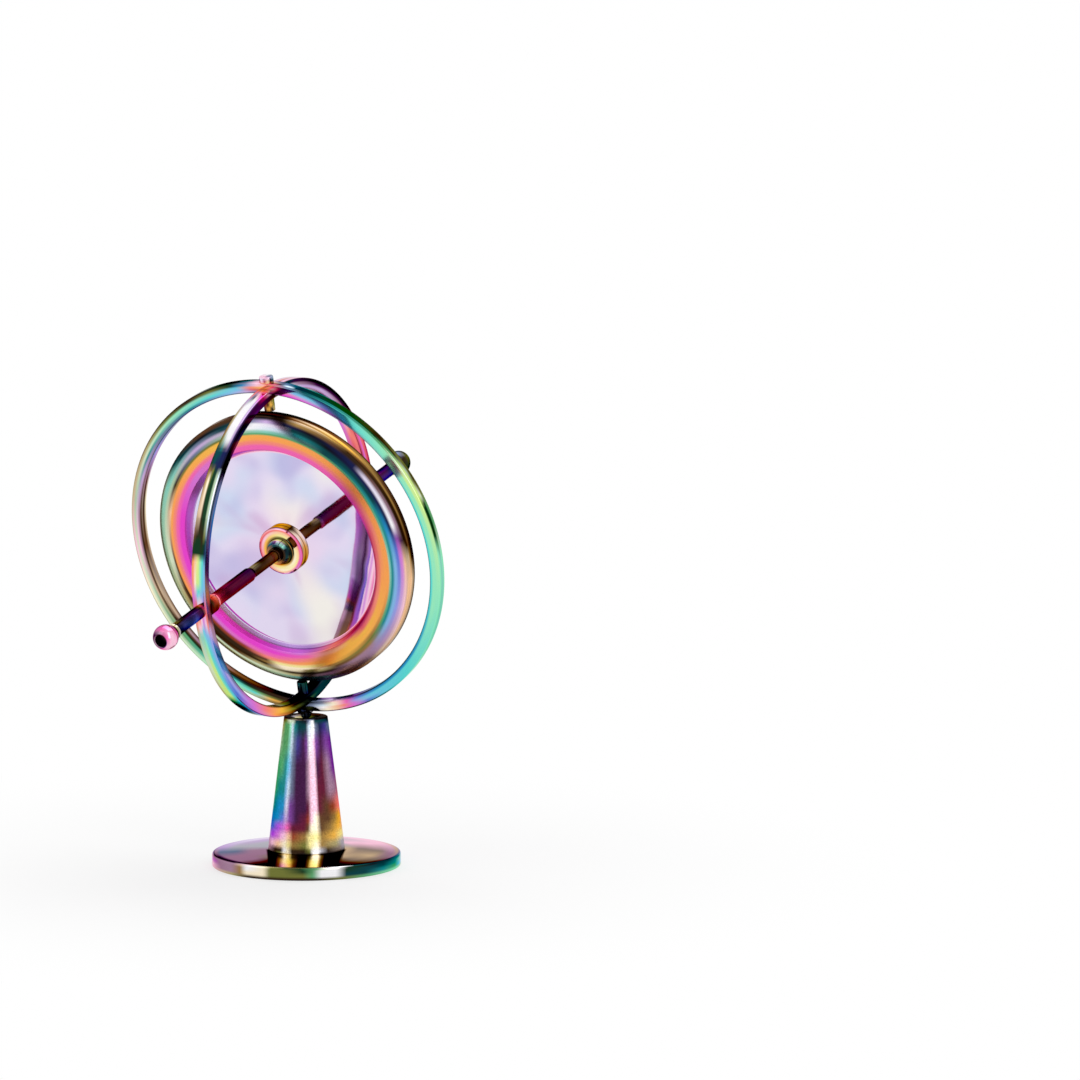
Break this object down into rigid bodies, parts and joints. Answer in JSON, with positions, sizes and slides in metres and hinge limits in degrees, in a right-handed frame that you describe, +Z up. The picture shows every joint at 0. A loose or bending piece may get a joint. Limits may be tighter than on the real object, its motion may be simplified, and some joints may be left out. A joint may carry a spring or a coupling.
{
  "type": "gyroscope on stand",
  "caption": "Toy gyroscope of a flywheel in two crossed rings, leaning on its foot in the cup of a conical pedestal.",
  "frame": {"origin": "centre of the pedestal's underside, on the surface it stands on", "axes": "+Z up the pedestal; the gyroscope leans towards -Y; X is the axis it leans about"},
  "size_m": [0.0645, 0.0866, 0.0932],
  "materials": {
    "base_polish": "polished, iridescent",
    "column_satin": "satin, iridescent",
    "stud_steel": "turned",
    "foot_steel": "polished",
    "ring_polish": "polished, iridescent",
    "bearing_ring_polish": "polished, iridescent",
    "rivet_polish": "polished, iridescent",
    "wheel_polish": "polished, iridescent",
    "axle_polish": "polished, iridescent",
    "hub_gold": "polished, gold tone",
    "bush_polish": "polished",
    "post_polish": "polished, iridescent",
    "tip_polish": "polished, iridescent"
  },
  "bodies": {
    "stand": {"base_disc": "base_polish", "column": "column_satin", "column_stud": "stud_steel"},
    "foot": {"foot_ball": "foot_steel"},
    "frame": {"equatorial_ring": "ring_polish", "axial_ring": "bearing_ring_polish", "top_rivet": "rivet_polish", "bottom_rivet": "rivet_polish", "front_bearing_bush": "bush_polish", "rear_bearing_bush": "bush_polish", "front_pivot_post": "post_polish", "rear_pivot_post": "post_polish", "front_ball_tip": "tip_polish", "rear_ball_tip": "tip_polish"},
    "rotor": {"flywheel": "wheel_polish", "axle": "axle_polish", "front_hub_flange": "hub_gold", "rear_hub_flange": "hub_gold"}
  },
  "joints": [
    {"name": "precession", "type": "hinge", "parent": "stand", "child": "foot", "pos_m": [0, 0, 0.0285], "axis": [0, 0, 1], "continuous": true},
    {"name": "lean", "type": "hinge", "parent": "foot", "child": "frame", "pos_m": [0, 0, 0.0285], "axis": [-1, 0, 0], "range_deg": [-4, 36]},
    {"name": "spin", "type": "hinge", "parent": "frame", "child": "rotor", "pos_m": [0, -0.00921, 0.06061], "axis": [-0.1478, -0.9507, -0.2726], "continuous": true}
  ]
}
